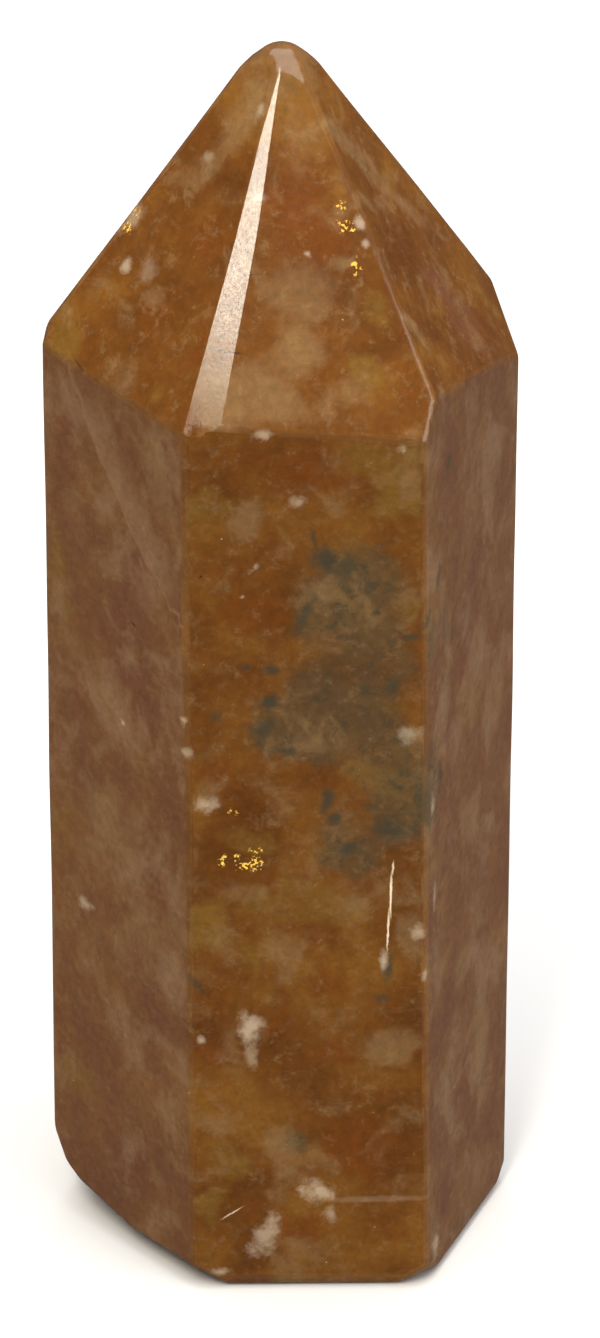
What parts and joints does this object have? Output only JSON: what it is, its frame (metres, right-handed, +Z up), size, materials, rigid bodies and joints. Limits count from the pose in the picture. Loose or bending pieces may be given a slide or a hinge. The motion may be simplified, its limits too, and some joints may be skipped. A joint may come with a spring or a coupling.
{
  "type": "polished calcite tower",
  "caption": "Free-standing polished mineral tower: a faceted column with a faceted point and a flat foot, shown as a specimen or ornament.",
  "frame": {"origin": "middle of the bottom of the bounding box, on the foot plane", "axes": "+Z up along the column to the point, -Y towards the viewer of the picture, +X to the viewer's right"},
  "size_m": [0.0328, 0.0296, 0.0904],
  "materials": {
    "calcite": "polished"
  },
  "bodies": {
    "root": {"calcite_tower": "calcite"}
  },
  "joints": []
}
